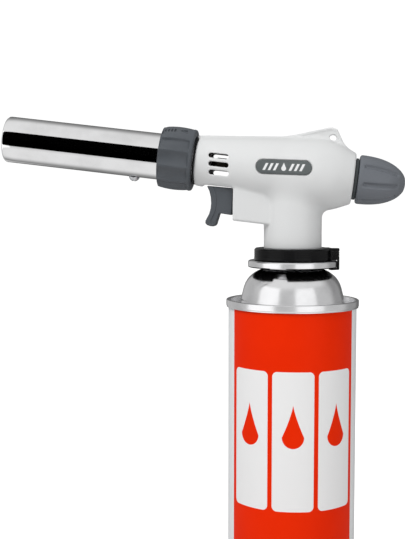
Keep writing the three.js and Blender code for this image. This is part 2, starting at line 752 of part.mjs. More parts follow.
function barrelParts() {
  const group = new THREE.Group();
  group.position.z = BARREL_Z;
  group.rotation.y = BARREL_TILT;
  group.add(glandNut(), stemSeal(), valveNeedle(), knobNeck(), knob());
  group.add(gasPipe(), gasJet(), mixingTube(), tubeMount(), burnerTube(), tubeScrew(), flameHolder());
  group.add(electrodeInsulator(), electrode(), airRing(), ringWasher());
  return group;
}

// ---------------------------------------------------------------- trigger and ignition

// The finger face is hollowed, and a short hook below keeps the finger from slipping off.
function trigger() {
  const shape = new THREE.Shape();
  shape.moveTo(-43.6, 222);
  shape.bezierCurveTo(-41.4, 218.5, -40.4, 212.5, -42.4, 208.1);
  shape.lineTo(-44.4, 204);
  shape.quadraticCurveTo(-44.7, 201.9, -42.6, 201.5);
  shape.quadraticCurveTo(-40, 200.9, -39.3, 202.3);
  shape.quadraticCurveTo(-38.6, 206.4, -37.4, 207.8);
  shape.lineTo(-31, 207);
  shape.lineTo(-30.2, 220.7);
  const body = plate(shape, -TRIGGER_HALF, TRIGGER_HALF);
  const pocket = placed(rodX(3.9, 0, 0, -POCKET_DEPTH, 5), triggerMatrix());
  return piece('trigger', body.subtract(pocket), 'slatePlastic');
}

function ignitionPlunger() {
  return piece('ignition_plunger', rodX(SPINDLE_RADIUS, 0, 0, GAP - POCKET_DEPTH, 13, TINY), 'whitePlastic');
}

function triggerSpring() {
  const coil = spring(3.15, 0.35, 0.7 - POCKET_DEPTH, UNIT_FRONT - 0.7, 5);
  return piece('trigger_spring', placed(coil, new THREE.Matrix4().makeRotationY(Math.PI / 2)), 'steel');
}

function ignitionUnit() {
  const body = box([UNIT_FRONT, -4.75, -4.6], [UNIT_REAR, 4.75, 6.4]);
  const terminal = rodZ(1.6, 15, 0, 6, 7.6, TINY);
  const bore = rodX(SPINDLE_RADIUS + 0.5, 0, 0, UNIT_FRONT - 2, UNIT_REAR - 2.5, TINY);
  return piece('ignition_unit', body.add(terminal).subtract(bore), 'blackPlastic');
}

function ignitionParts() {
  const group = new THREE.Group();
  group.position.set(TRIGGER_X, 0, TRIGGER_Z);
  group.rotation.y = BARREL_TILT;
  group.add(ignitionPlunger(), triggerSpring(), ignitionUnit());
  return group;
}

// The high-voltage lead, held by the shells from the ignition unit to the electrode.
function ignitionLead() {
  const points = [[-14.5, 221], [-15.5, 223.3], [-20, 224.9], [-30, 225.9], [-38, 226.2], [-43, 226.5],
    [-45, 226.7]];
  const curve = new THREE.CatmullRomCurve3(points.map(([x, z]) => new THREE.Vector3(x, 0, z)));
  return piece('ignition_lead', bar(curve, 16, 0.9, 8), 'cableRed');
}

function torchHead() {
  const group = new THREE.Group();
  group.add(...shells(), ...bodyScrews(), badge());
  group.add(bayonetCollar(), ...collarScrews(), inletNipple(), inletSeal(), valveBody());
  group.add(trigger(), ignitionParts(), ignitionLead(), barrelParts());
  return group;
}

const torch = new THREE.Group();
torch.position.x = CARTRIDGE_X;
torch.add(cartridge(), torchHead());

export default torch;
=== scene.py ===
# Butane torch locked on an upright gas cartridge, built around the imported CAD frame.
# Shapes are worked out in millimetres from the cartridge's axis, and become metres as meshes.
import json
import math

import bmesh
import bpy
import numpy as np
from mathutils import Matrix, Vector

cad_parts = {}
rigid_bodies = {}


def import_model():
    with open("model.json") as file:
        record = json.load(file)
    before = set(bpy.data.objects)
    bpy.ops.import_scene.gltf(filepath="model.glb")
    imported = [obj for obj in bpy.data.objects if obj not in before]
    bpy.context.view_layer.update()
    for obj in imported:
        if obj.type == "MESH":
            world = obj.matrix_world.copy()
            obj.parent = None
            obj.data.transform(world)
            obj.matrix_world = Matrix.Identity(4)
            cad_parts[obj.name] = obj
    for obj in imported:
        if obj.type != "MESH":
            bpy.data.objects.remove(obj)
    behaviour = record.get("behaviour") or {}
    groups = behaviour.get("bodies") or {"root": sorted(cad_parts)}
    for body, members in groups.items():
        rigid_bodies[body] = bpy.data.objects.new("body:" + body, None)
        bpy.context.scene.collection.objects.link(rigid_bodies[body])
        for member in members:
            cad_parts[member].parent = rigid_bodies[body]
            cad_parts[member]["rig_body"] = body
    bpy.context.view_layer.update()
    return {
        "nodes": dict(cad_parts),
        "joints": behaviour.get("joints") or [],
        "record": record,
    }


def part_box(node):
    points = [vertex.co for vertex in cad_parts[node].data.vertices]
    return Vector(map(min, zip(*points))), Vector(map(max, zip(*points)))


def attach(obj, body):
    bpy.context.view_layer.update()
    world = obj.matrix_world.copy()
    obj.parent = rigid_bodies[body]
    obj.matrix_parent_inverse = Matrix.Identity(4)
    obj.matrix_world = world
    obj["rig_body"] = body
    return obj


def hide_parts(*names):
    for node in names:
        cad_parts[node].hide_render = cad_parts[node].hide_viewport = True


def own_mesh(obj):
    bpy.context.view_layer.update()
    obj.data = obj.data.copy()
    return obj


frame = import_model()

MM = 0.001


def joint(name):
    return next(item for item in frame["joints"] if item["name"] == name)


def node_box(name):
    """Lowest and highest corner of a CAD node, in millimetres from the cartridge's axis."""
    low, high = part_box(name)
    shift = np.array([AXIS_X, 0, 0])
    return np.array(low) / MM - shift, np.array(high) / MM - shift


# The barrel's axis leans, and crosses the cartridge's axis at BARREL_Z.
KNOB_JOINT = joint("knob_turn")
AXIS_X = KNOB_JOINT["pos_m"][0] / MM
BARREL_Z = KNOB_JOINT["pos_m"][2] / MM
TILT = math.atan2(-KNOB_JOINT["axis"][2], KNOB_JOINT["axis"][0])
COS_TILT = math.cos(TILT)
SIN_TILT = math.sin(TILT)

# ---- distance fields


def length(*parts):
    return np.sqrt(sum(part * part for part in parts))


def smooth_min(a, b, blend):
    """Joins two shapes, with a fillet where they meet."""
    overlap = np.maximum(blend - np.abs(a - b), 0) / blend
    return np.minimum(a, b) - overlap * overlap * blend / 4


def smooth_max(a, b, blend):
    """Keeps what is in both shapes, with a rounded edge where they meet."""
    return -smooth_min(-a, -b, blend)


def tilted(x, z, angle):
    """Two distances as seen in a frame that leans down by an angle."""
    return x * math.cos(angle) - z * math.sin(angle), x * math.sin(angle) + z * math.cos(angle)


def barrel_space(x, y, z):
    """Distance along the barrel's axis, and the two distances across it."""
    along, up = tilted(x, z - BARREL_Z, TILT)
    return along, y, up


def barrel_point(along, across, up):
    """The x, y and z of a place that is given along the barrel's axis and across it."""
    return along * COS_TILT + up * SIN_TILT, across, BARREL_Z - along * SIN_TILT + up * COS_TILT


def polygon(x, y, points):
    """Signed distance to a polygon, negative inside."""
    nearest = np.full(np.shape(x), 1e9, np.float32)
    inside = np.zeros(np.shape(x), bool)
    for (ax, ay), (bx, by) in zip(points, points[1:] + points[:1]):
        ex, ey = bx - ax, by - ay
        px, py = x - ax, y - ay
        share = np.clip((px * ex + py * ey) / (ex * ex + ey * ey), 0, 1)
        nearest = np.minimum(nearest, (px - ex * share) ** 2 + (py - ey * share) ** 2)
        if ey != 0:
            crosses = (ay > y) != (by > y)
            inside ^= crosses & (px < ex * (y - ay) / ey)
    return np.sqrt(nearest) * np.where(inside, -1, 1).astype(np.float32)


def inset(points, amount):
    """A polygon moved in by an amount, whichever way round it runs."""
    area = sum(a[0] * b[1] - b[0] * a[1] for a, b in zip(points, points[1:] + points[:1]))
    side = 1 if area > 0 else -1
    moved = []
    for before, here, after in zip(points[-1:] + points[:-1], points, points[1:] + points[:1]):
        one = Vector((here[0] - before[0], here[1] - before[1])).normalized()
        two = Vector((after[0] - here[0], after[1] - here[1])).normalized()
        normal = Vector((-one.y - two.y, one.x + two.x))
        reach = side * amount * 2 / max(normal.length_squared, 0.3)  # a needle-sharp corner moves less
        moved.append((here[0] + normal.x * reach, here[1] + normal.y * reach))
    return moved


def rounded_polygon(x, y, points, radius):
    """Signed distance to a polygon whose outer corners are rounded."""
    return polygon(x, y, inset(points, radius)) - radius


def extruded(outline, across, half, radius):
    """A flat outline given thickness, with its long edges rounded."""
    a = outline + radius
    b = np.abs(across) - half + radius
    return np.minimum(np.maximum(a, b), 0) + length(np.maximum(a, 0), np.maximum(b, 0)) - radius


def turned(along, across, half_profile, radius):
    """A turned shape from the [along, radius] points of one side of its profile."""
    mirrored = [(u, -r) for u, r in reversed(half_profile)]
    return rounded_polygon(along, across, half_profile + mirrored, radius)


def pill(x, y, total, height):
    """Signed distance to a bar with round ends."""
    return length(np.maximum(np.abs(x) - (total - height) / 2, 0), y) - height / 2


# ---- meshes


def surface_net(values, low, step):
    """Vertices and quads of the surface where a grid of distances crosses zero."""
    inside = values < 0
    cells_shape = [n - 1 for n in values.shape]

    def corner(grid, i, j, k):
        return grid[i:i + cells_shape[0], j:j + cells_shape[1], k:k + cells_shape[2]]

    corners = [(i, j, k) for i in (0, 1) for j in (0, 1) for k in (0, 1)]
    count = sum(corner(inside, *c).astype(np.int8) for c in corners)
    active = (count > 0) & (count < 8)
    number = np.full(active.shape, -1, np.int64)
    number[active] = np.arange(active.sum())
    cells = np.argwhere(active)
    total = np.zeros((len(cells), 3))
    hits = np.zeros(len(cells))
    for axis in range(3):
        ahead = np.eye(3, dtype=int)[axis]
        for start in (np.array(c) for c in corners if c[axis] == 0):
            a = values[tuple((cells + start).T)]
            b = values[tuple((cells + start + ahead).T)]
            crossing = (a < 0) != (b < 0)
            share = np.where(crossing, a / np.where(a == b, 1, a - b), 0)
            total += crossing[:, None] * (start + share[:, None] * ahead)
            hits += crossing
    points = np.array(low) + step * (cells + total / hits[:, None])
    return points, surface_quads(inside, number)


def surface_quads(inside, number):
    """One quad round each grid edge that the surface crosses, between the four cells' numbered vertices."""
    quads = []
    for axis in range(3):
        b, c = (axis + 1) % 3, (axis + 2) % 3
        order = np.moveaxis(inside, (axis, b, c), (0, 1, 2))
        here, ahead = order[:-1, 1:-1, 1:-1], order[1:, 1:-1, 1:-1]
        ids = np.moveaxis(number, (axis, b, c), (0, 1, 2))
        around = [ids[:, :-1, :-1], ids[:, 1:, :-1], ids[:, 1:, 1:], ids[:, :-1, 1:]]
        for leaving in (True, False):
            edge = (here & ~ahead) if leaving else (~here & ahead)
            found = np.stack([grid[edge] for grid in around], axis=1)
            quads.append(found if leaving else found[:, ::-1])
    return np.concatenate(quads)


def settle(points, field, step):
    """Moves the vertices onto the surface, in four steps along its slope."""
    reach = 0.02  # how far to either side the slope is taken
    for _ in range(4):
        x, y, z = points.T
        slope = np.stack([
            field(x + reach, y, z) - field(x - reach, y, z),
            field(x, y + reach, z) - field(x, y - reach, z),
            field(x, y, z + reach) - field(x, y, z - reach),
        ], axis=1) / (2 * reach)
        steepness = np.maximum((slope * slope).sum(1), 0.2)
        move = np.clip(field(x, y, z) / steepness, -step / 2, step / 2)
        points = points - slope * move[:, None]
    return points


def mesh_object(name, points, faces):
    """A smooth-shaded mesh object from points in millimetres."""
    mesh = bpy.data.meshes.new(name)
    placed = (np.asarray(points, float) + [AXIS_X, 0, 0]) * MM
    mesh.from_pydata(placed.tolist(), [], [tuple(face) for face in faces])
    mesh.validate()
    mesh.shade_smooth()
    obj = bpy.data.objects.new(name, mesh)
    bpy.context.scene.collection.objects.link(obj)
    return obj


def field_object(name, field, low, high, step):
    """The surface of a field of distances inside a box, as a mesh object with about the given step."""
    low = np.array(low, float) - 2 * step
    axes = [np.arange(a, b + 2 * step, step) for a, b in zip(low, high)]
    x, y, z = np.meshgrid(*[axis.astype(np.float32) for axis in axes], indexing="ij")
    points, faces = surface_net(field(x, y, z), low, step)
    return mesh_object(name, settle(points, field, step), faces)


def filleted(points, radius, steps=5):
    """A line of [a, b] points, its inner corners rounded. A third number is a corner's own radius."""
    out = [points[0]]
    for before, here, after in zip(points, points[1:], points[2:]):
        p0, p1, p2 = (Vector(p[:2]) for p in (before, here, after))
        size = here[2] if len(here) > 2 else radius
        into, away = (p0 - p1), (p2 - p1)
        half = into.angle(away, math.pi) / 2
        trim = min(size / math.tan(half), into.length * 0.49, away.length * 0.49)
        start, end = p1 + into.normalized() * trim, p1 + away.normalized() * trim
        if size <= 0 or half > math.radians(88):  # sharp, or nearly straight
            out.append(tuple(p1))
            continue
        for i in range(steps + 1):
            t = i / steps
            out.append(tuple(start * (1 - t) ** 2 + p1 * 2 * t * (1 - t) + end * t * t))
    out.append(points[-1])
    return [tuple(p[:2]) for p in out]


def spline(points, steps=6):
    """A smooth line through its points."""
    p = [Vector(q) for q in points]
    p = [p[0] * 2 - p[1]] + p + [p[-1] * 2 - p[-2]]
    out = []
    for a, b, c, d in zip(p, p[1:], p[2:], p[3:]):
        for i in range(steps):
            t = i / steps
            out.append(tuple(0.5 * (2 * b + (c - a) * t + (2 * a - 5 * b + 4 * c - d) * t * t
                                    + (3 * b - a - 3 * c + d) * t ** 3)))
    return out + [tuple(p[-2])]


def sheet(line, wall):
    """A closed profile from an outside line, with its wall on the left of it."""
    line = [p for i, p in enumerate(line) if i == 0 or math.dist(p, line[i - 1]) > 0.02]
    inner = []
    for i, here in enumerate(line):
        before, after = line[max(i - 1, 0)], line[min(i + 1, len(line) - 1)]
        along = Vector((after[0] - before[0], after[1] - before[1])).normalized()
        inner.append((max(here[0] - along.y * wall, 0), here[1] + along.x * wall))
    return line + inner[::-1]


def axis_point(radius, height, angle, leaning):
    """A point of a turned piece, about the cartridge's axis or about the barrel's."""
    across, up = radius * math.cos(angle), radius * math.sin(angle)
    return barrel_point(height, across, up) if leaning else (across, up, height)


def turned_object(name, profile, sides=96, leaning=False, sharp=40):
    """A turned mesh from a closed profile of [radius, height] points."""
    points, faces = [], []
    rows = len(profile)
    for side in range(sides):
        angle = 2 * math.pi * side / sides
        points += [axis_point(r, h, angle, leaning) for r, h in profile]
    for side in range(sides):
        here, ahead = side * rows, (side + 1) % sides * rows
        for row in range(rows):
            up = (row + 1) % rows
            faces.append((here + row, ahead + row, ahead + up, here + up))
    obj = mesh_object(name, points, faces)
    clean(obj.data, sharp)
    return obj


def clean(mesh, sharp):
    """Merges points that meet, turns the faces outward, and marks edges sharper than an angle in degrees."""
    work = bmesh.new()
    work.from_mesh(mesh)
    bmesh.ops.remove_doubles(work, verts=work.verts, dist=1e-7)
    bmesh.ops.dissolve_degenerate(work, edges=work.edges, dist=1e-7)
    bmesh.ops.recalc_face_normals(work, faces=work.faces)
    work.to_mesh(mesh)
    work.free()
    mesh.shade_smooth()
    mesh.set_sharp_from_angle(angle=math.radians(sharp))


def wire_object(name, kind, path, radius, resolution):
    """A round wire along a path of points in millimetres."""
    curve = bpy.data.curves.new(name, "CURVE")
    curve.dimensions = "3D"
    curve.bevel_depth = radius * MM
    curve.bevel_resolution = resolution
    curve.use_fill_caps = True
    segment = curve.splines.new(kind)
    segment.points.add(len(path) - 1)
    segment.use_endpoint_u = True
    for point, (x, y, z) in zip(segment.points, path):
        point.co = ((AXIS_X + x) * MM, y * MM, z * MM, 1)
    drawn = bpy.data.objects.new(name, curve)
    bpy.context.scene.collection.objects.link(drawn)
    bpy.context.view_layer.update()
    mesh = bpy.data.meshes.new_from_object(drawn.evaluated_get(bpy.context.evaluated_depsgraph_get()))
    bpy.data.objects.remove(drawn)
    mesh.name = name
    mesh.shade_smooth()
    obj = bpy.data.objects.new(name, mesh)
    bpy.context.scene.collection.objects.link(obj)
    return obj


# ---- materials


class Nodes:
    """Short ways to add and join the nodes of one material, or of the world."""

    def __init__(self, owner):
        owner.use_nodes = True
        self.owner = owner
        self.tree = owner.node_tree
        self.shader = self.tree.nodes.get("Principled BSDF")

    def add(self, kind, **settings):
        node = self.tree.nodes.new(kind)
        for key, value in settings.items():
            setattr(node, key, value)
        return node

    def join(self, source, target):
        """Links an output to an input, or gives the input a plain value."""
        if hasattr(source, "is_linked"):
            self.tree.links.new(source, target)
        else:
            target.default_value = source

    def set(self, name, source):
        self.join(source, self.shader.inputs[name])

    def math(self, operation, a, b=0.0):
        node = self.add("ShaderNodeMath", operation=operation)
        for value, socket in zip((a, b), node.inputs):
            self.join(value, socket)
        return node.outputs[0]

    def plus(self, a, b):
        return self.math("ADD", a, b)

    def minus(self, a, b):
        return self.math("SUBTRACT", a, b)

    def times(self, a, b):
        return self.math("MULTIPLY", a, b)

    def absolute(self, a):
        return self.math("ABSOLUTE", a)

    def distance(self, a, b):
        return self.math("SQRT", self.plus(self.times(a, a), self.times(b, b)))

    def blend(self, share, a, b):
        """The number a where the share is 0, and b where it is 1."""
        return self.plus(self.times(b, share), self.times(a, self.minus(1.0, share)))

    def place(self):
        """Object coordinates, which stay with the piece as it moves."""
        node = self.tree.nodes.get("place") or self.add("ShaderNodeTexCoord", name="place")
        return node.outputs["Object"]

    def split(self, vector):
        node = self.add("ShaderNodeSeparateXYZ")
        self.join(vector, node.inputs[0])
        return node.outputs

    def millimetres(self):
        """The place's x from the cartridge's axis, its y and its z, in millimetres."""
        x, y, z = (self.math("DIVIDE", part, MM) for part in self.split(self.place()))
        return self.minus(x, AXIS_X), y, z

    def noise(self, scale, detail, stretch=None):
        vector = self.place()
        if stretch:
            mapping = self.add("ShaderNodeMapping")
            mapping.inputs["Scale"].default_value = stretch
            self.join(vector, mapping.inputs["Vector"])
            vector = mapping.outputs[0]
        node = self.add("ShaderNodeTexNoise")
        node.inputs["Scale"].default_value = scale
        node.inputs["Detail"].default_value = detail
        self.join(vector, node.inputs["Vector"])
        return node.outputs["Fac"]

    def ramp(self, value, low, high, to_low, to_high):
        """A smooth step from one value to another."""
        node = self.add("ShaderNodeMapRange", interpolation_type="SMOOTHSTEP")
        self.join(value, node.inputs["Value"])
        for name, number in (("From Min", low), ("From Max", high), ("To Min", to_low), ("To Max", to_high)):
            node.inputs[name].default_value = number
        return node.outputs[0]

    def mix(self, share, a, b):
        """The colour a where the share is 0, and b where it is 1."""
        node = self.add("ShaderNodeMix", data_type="RGBA")
        self.join(share, node.inputs[0])
        for value, socket in ((a, node.inputs[6]), (b, node.inputs[7])):
            self.join((*value, 1.0) if isinstance(value, tuple) else value, socket)
        return node.outputs[2]

    def mottled(self, one, other, scale, detail, low, high):
        """Two colours in soft patches."""
        return self.mix(self.ramp(self.noise(scale, detail), low, high, 0, 1), one, other)

    def uneven(self, low, high, scale, detail):
        """A number that wanders between two values."""
        return self.ramp(self.noise(scale, detail), 0.3, 0.7, low, high)

    def bump(self, height, strength, distance):
        node = self.add("ShaderNodeBump")
        node.inputs["Strength"].default_value = strength
        node.inputs["Distance"].default_value = distance
        self.join(height, node.inputs["Height"])
        self.set("Normal", node.outputs[0])


def material_nodes(name):
    return Nodes(bpy.data.materials.new(name))


def linear(red, green, blue):
    """A colour given as 0-255 screen values."""
    values = (red / 255, green / 255, blue / 255)
    return tuple(((v + 0.055) / 1.055) ** 2.4 if v > 0.04 else v / 12.92 for v in values)


def moulded_plastic(name, color, roughness, grain, shade, coat=0.0, shine=0.35):
    """Fine moulded grain, with slow changes of tone and of roughness."""
    n = material_nodes(name)
    n.set("Base Color", n.mottled(color, tuple(c * shade for c in color), 45, 4, 0.35, 0.7))
    n.set("Roughness", n.uneven(roughness - 0.05, roughness + 0.06, 160, 3))
    n.set("Coat Weight", coat)
    n.set("Coat Roughness", 0.25)
    n.set("Specular IOR Level", shine)
    n.bump(n.noise(2600, 2), grain, 0.00008)
    return n.owner


def metal(name, color, roughness, spread, stretch, marks):
    """Bare metal with faint drawn lines and small changes of polish."""
    n = material_nodes(name)
    lines = n.noise(300, 5, stretch)
    n.set("Base Color", n.mottled(color, tuple(c * 0.86 for c in color), 60, 4, 0.4, 0.75))
    n.set("Roughness", n.ramp(lines, 0.3, 0.7, max(roughness - spread, 0.02), roughness + spread))
    n.set("Metallic", 1.0)
    n.bump(lines, marks, 0.00004)
    return n.owner


def rubber_like(name, color, roughness):
    """Dull, with a finely pitted skin."""
    n = material_nodes(name)
    n.set("Base Color", n.mottled(color, tuple(c * 1.5 + 0.004 for c in color), 220, 4, 0.4, 0.7))
    n.set("Roughness", n.uneven(roughness - 0.08, roughness + 0.05, 90, 2))
    n.bump(n.noise(1500, 3), 0.3, 0.0001)
    return n.owner


CAN_RADIUS = 32.85
TOP_SEAM_Z = 160.4
# Print on the near and the far side of the can: a red panel with three white bars, and a red drop in each.
# Widths round the can are in degrees.
PANEL_TURN = 2.9
PANEL_HALF = 63.4
PANEL_TOP = 160.6
PANEL_LOW = 5.5
BAR_PITCH = 40.5
BAR_HALF = 18.2
BAR_TOP = 131.3
BAR_LOW = 62.0
DROP_Z = 99.0
DROP_RADIUS = 5.6
DROP_HEIGHT = 17.0
# The badge's middle, x and z, its lean, its size, and the width of one printed bar.
BADGE = (-4.2, 231.0)
BADGE_TILT = math.radians(2.4)
BADGE_LENGTH = 27.6
BADGE_HEIGHT = 6.9
BADGE_BAR = 1.3


def box_mask(n, x, z, half_x, low, high, corner):
    """1 inside a rounded rectangle, in millimetres, else 0."""
    middle, half_z = (low + high) / 2, (high - low) / 2
    soft = 0.12
    dx = n.math("MAXIMUM", n.minus(n.absolute(x), half_x - corner), 0.0)
    dz = n.absolute(n.minus(z, middle))
    dz = n.math("MAXIMUM", n.minus(dz, half_z - corner), 0.0)
    return n.ramp(n.distance(dx, dz), corner - soft, corner + soft, 1, 0)


def drop_mask(n, x, z):
    """1 inside a drop: a round foot drawn up to a point."""
    height = n.minus(z, DROP_Z)
    share = n.math("MINIMUM", n.math("DIVIDE", n.math("MAXIMUM", height, 0.0), DROP_HEIGHT), 1.0)
    width = n.times(n.math("POWER", n.minus(1.0, share), 1.35), DROP_RADIUS)
    point = n.minus(width, n.absolute(x))
    foot = n.minus(DROP_RADIUS, n.distance(x, height))
    inside = n.blend(n.ramp(height, -0.05, 0.05, 0, 1), foot, point)
    return n.ramp(inside, 0.02, 0.2, 0, 1)


def printed_badge(name):
    """Grey plate, printed with a white drop between two groups of slanting bars."""
    n = material_nodes(name)
    x, _, z = n.millimetres()
    dx, dz = n.minus(x, BADGE[0]), n.minus(z, BADGE[1])
    x = n.minus(dx, n.times(dz, math.sin(BADGE_TILT)))
    z = n.plus(dz, n.times(dx, math.sin(BADGE_TILT)))
    slanted = n.minus(x, n.times(z, 0.45))  # the same all along one bar
    stripe = n.math("PINGPONG", n.plus(slanted, 40 * BADGE_BAR), BADGE_BAR)
    bars = n.ramp(n.minus(stripe, BADGE_BAR / 2), -0.1, 0.1, 0, 1)
    bars = n.times(bars, n.ramp(n.absolute(z), 1.65, 1.85, 1, 0))
    from_group = n.absolute(n.minus(n.absolute(slanted), 5 * BADGE_BAR))
    bars = n.times(bars, n.ramp(from_group, 3.8, 4.0, 1, 0))
    foot = n.ramp(n.distance(x, n.plus(z, 0.7)), 1.1, 1.3, 1, 0)
    slope = n.times(n.minus(2.2, z), 0.42)  # the point's half width, down from its tip
    point = n.ramp(n.minus(slope, n.absolute(x)), -0.1, 0.1, 0, 1)
    drop = n.math("MAXIMUM", foot, n.times(point, n.ramp(z, -0.6, -0.4, 0, 1)))
    ground = n.mottled(linear(94, 99, 99), linear(84, 89, 90), 45, 4, 0.35, 0.7)
    n.set("Base Color", n.mix(n.math("MAXIMUM", bars, drop), ground, linear(232, 233, 233)))
    n.set("Roughness", n.uneven(0.42, 0.52, 160, 3))
    n.set("Specular IOR Level", 0.3)
    n.bump(n.noise(2600, 2), 0.25, 0.00008)
    return n.owner


def printed_can(name):
    """Lacquered tinplate with the panel, the bars and the drops printed on it."""
    n = material_nodes(name)
    x, y, z = n.millimetres()
    # The far side is turned onto the near one.
    near_x = n.times(n.times(x, n.math("SIGN", y)), -1.0)
    angle = n.math("DEGREES", n.math("ARCTAN2", near_x, n.absolute(y)))
    degree = math.radians(1) * CAN_RADIUS
    arc = n.minus(n.times(angle, degree), PANEL_TURN * degree)
    panel = box_mask(n, arc, z, PANEL_HALF * degree, PANEL_LOW, PANEL_TOP, 0.6)
    white = 0.0
    for place in (-1, 0, 1):
        shifted = n.minus(arc, place * BAR_PITCH * degree)
        bar = box_mask(n, shifted, z, BAR_HALF * degree, BAR_LOW, BAR_TOP, 2.5)
        cut = n.times(bar, n.minus(1.0, drop_mask(n, shifted, z)))
        white = n.plus(white, cut)
    ink = n.mottled(linear(240, 44, 0), linear(233, 40, 0), 25, 3, 0.3, 0.75)
    printed = n.mix(white, ink, linear(240, 240, 240))
    n.set("Base Color", n.mix(panel, linear(236, 238, 239), printed))
    n.set("Roughness", n.uneven(0.3, 0.4, 120, 4))
    n.set("Specular IOR Level", 0.05)
    n.bump(n.noise(900, 2), 0.04, 0.00005)
    return n.owner


MATERIALS = {
    "tinplate": metal("bright_tinplate", (0.80, 0.80, 0.81), 0.2, 0.05, (1, 1, 30), 0.05),
    "lacquered_tinplate": printed_can("printed_tinplate"),
    "white_plastic": moulded_plastic("white_abs", linear(221, 222, 222), 0.42, 0.12, 0.975),
    "grey_plastic": moulded_plastic("grey_nylon", linear(106, 110, 116), 0.38, 0.3, 0.9),
    # Painted shade: the knob's grey nylon made darker for the grip ring and the trigger, which are the same
    # plastic but get less light.
    "slate_plastic": moulded_plastic("grey_nylon_painted_shade", linear(80, 84, 89), 0.42, 0.3, 0.9),
    "dark_plastic": moulded_plastic("dark_plastic", linear(72, 77, 79), 0.5, 0.35, 0.85),
    "black_plastic": moulded_plastic("black_nylon", linear(8, 8, 9), 0.2, 0.1, 0.8, shine=0.14),
    "chrome": metal("polished_chrome", (0.86, 0.86, 0.865), 0.05, 0.015, (1, 40, 40), 0.02),
    "steel": metal("zinc_plated_steel", (0.62, 0.63, 0.65), 0.3, 0.08, (1, 1, 12), 0.08),
    "brass": metal("turned_brass", (0.72, 0.50, 0.16), 0.28, 0.08, (20, 1, 1), 0.08),
    "zinc_casting": metal("cast_zinc", (0.50, 0.51, 0.53), 0.48, 0.1, (1, 1, 1), 0.3),
    "rubber": rubber_like("rubber_seal", (0.012, 0.012, 0.012), 0.72),
    "ceramic": moulded_plastic("glazed_ceramic", linear(238, 233, 222), 0.25, 0.1, 0.95, coat=0.4),
    "red_cable": rubber_like("red_silicone", (0.33, 0.014, 0.01), 0.5),
}
# Metal painted near black as painted shade, for the parts that show through the air slots in the shade inside
# the body.
PAINTED_SHADE_METAL = metal("painted_shade_metal", (0.05, 0.045, 0.035), 0.5, 0.08, (20, 1, 1), 0.08)
PAINTED_SHADE_NODES = ("gas_pipe", "gas_jet", "mixing_tube")
SLOT_OF = {part["node"]: part["material_slot"] for part in frame["record"]["subparts"]}


def stands_for(obj, node, material=None):
    """The piece takes a CAD node's place, body and finish."""
    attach(obj, frame["nodes"][node]["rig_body"])
    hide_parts(node)
    obj.data.materials.clear()
    obj.data.materials.append(material or MATERIALS[SLOT_OF[node]])


# ---- cartridge


def can_body():
    low, high = node_box("can_body")
    outside = [(CAN_RADIUS, low[2] + (high[2] - low[2]) * i / 24) for i in range(25)]
    inside = [(CAN_RADIUS - 0.5, high[2]), (CAN_RADIUS - 0.5, low[2])]
    stands_for(turned_object("can_body_wall", outside + inside, 160), "can_body")


def can_dome():
    """The rolled upper seam with its channel, the dome, and the neck that the valve cup is crimped on."""
    base = TOP_SEAM_Z
    seam = node_box("can_dome")[1][0]
    rim = filleted([(seam - 0.2, base - 0.3), (seam - 0.25, base), (seam, base + 0.6, 0.8),
                    (seam, base + 3.45, 1.4), (seam - 1.0, base + 3.6, 0.7), (32.2, base + 3.3, 0.7),
                    (32.0, base + 0.2, 0.8), (30.6, base - 0.6, 0.8), (29.0, base + 0.3, 0.8),
                    (27.2, base + 1.7, 1.0), (26.5, 163.4)], 0.5)
    dome = spline([(26.5, 163.4), (26.25, 164.9), (25.65, 167.4), (24.9, 170.3), (23.8, 172.9), (22.0, 175.4),
                   (19.3, 177.6), (17.0, 178.8)], 6)
    neck = filleted([(17.0, 178.8), (15.5, 179.5, 0.7), (15.2, 181.9, 0.8), (13.3, 181.9)], 0.6)
    line = rim + dome[1:] + neck[1:]
    stands_for(turned_object("can_dome_shell", sheet(line, 0.35), 160), "can_dome")


def can_base():
    """The domed bottom and the lower seam, which the can stands on."""
    seam = node_box("can_base")[1][0]
    line = filleted([(0.0, 10.0), (12, 9.3, 8), (24, 6.2, 6), (29.4, 3.6, 1.5), (30.7, 0.0, 0.6),
                     (seam - 0.3, 0.0, 0.6), (seam, 0.8, 0.8), (seam, 3.2, 0.8), (seam - 0.9, 3.6)], 0.5)
    stands_for(turned_object("can_base_pressing", sheet(line, 0.4), 160), "can_base")


def can_flange():
    """The pressed flange, with the notch that lets the torch's hook through."""
    low, high = node_box("can_flange")
    radius, bottom, top, wall = 22.9, low[2] - 0.1, high[2] - 0.55, 0.75
    outside = [(17.0, bottom + 0.5), (radius, bottom + 0.5), (radius, top), (17.0, top)]
    hollow = radius - wall
    inside = [(17.8, bottom - 4), (hollow, bottom - 4), (hollow, top - wall), (17.8, top - wall)]
    notch_turn = math.radians(45)

    def field(x, y, z):
        r = length(x, y)
        outer = rounded_polygon(r, z, outside, 1.1)
        inner = rounded_polygon(r, z, inside, 0.4)
        lip = length(r - (radius - 0.62), z - (bottom + 0.62)) - 0.62
        shape = smooth_min(smooth_max(outer, -inner, 0.2), lip, 0.3)
        along = x * math.cos(notch_turn) + y * math.sin(notch_turn)
        across = -x * math.sin(notch_turn) + y * math.cos(notch_turn)
        notch = smooth_max(18.2 - along, np.abs(across) - 5.0, 1.5)
        return smooth_max(shape, -notch, 0.3)

    obj = field_object("can_flange_pressing", field, [-23, -23, bottom - 0.3], [23, 23, top + 0.3], 0.28)
    stands_for(obj, "can_flange")


def can_valve_cup():
    """The cup that holds the can's valve, crimped over the dome's neck."""
    line = filleted([(16.3, 180.6), (16.3, 183.4, 0.8), (11.9, 183.4, 0.8), (11.9, 176.2, 0.8),
                     (6, 176.2, 0.8), (5, 181.6, 0.7), (2.6, 181.6)], 0.7)
    stands_for(turned_object("can_valve_cup_pressing", sheet(line, 0.4), 96), "can_valve_cup")


# ---- body shells

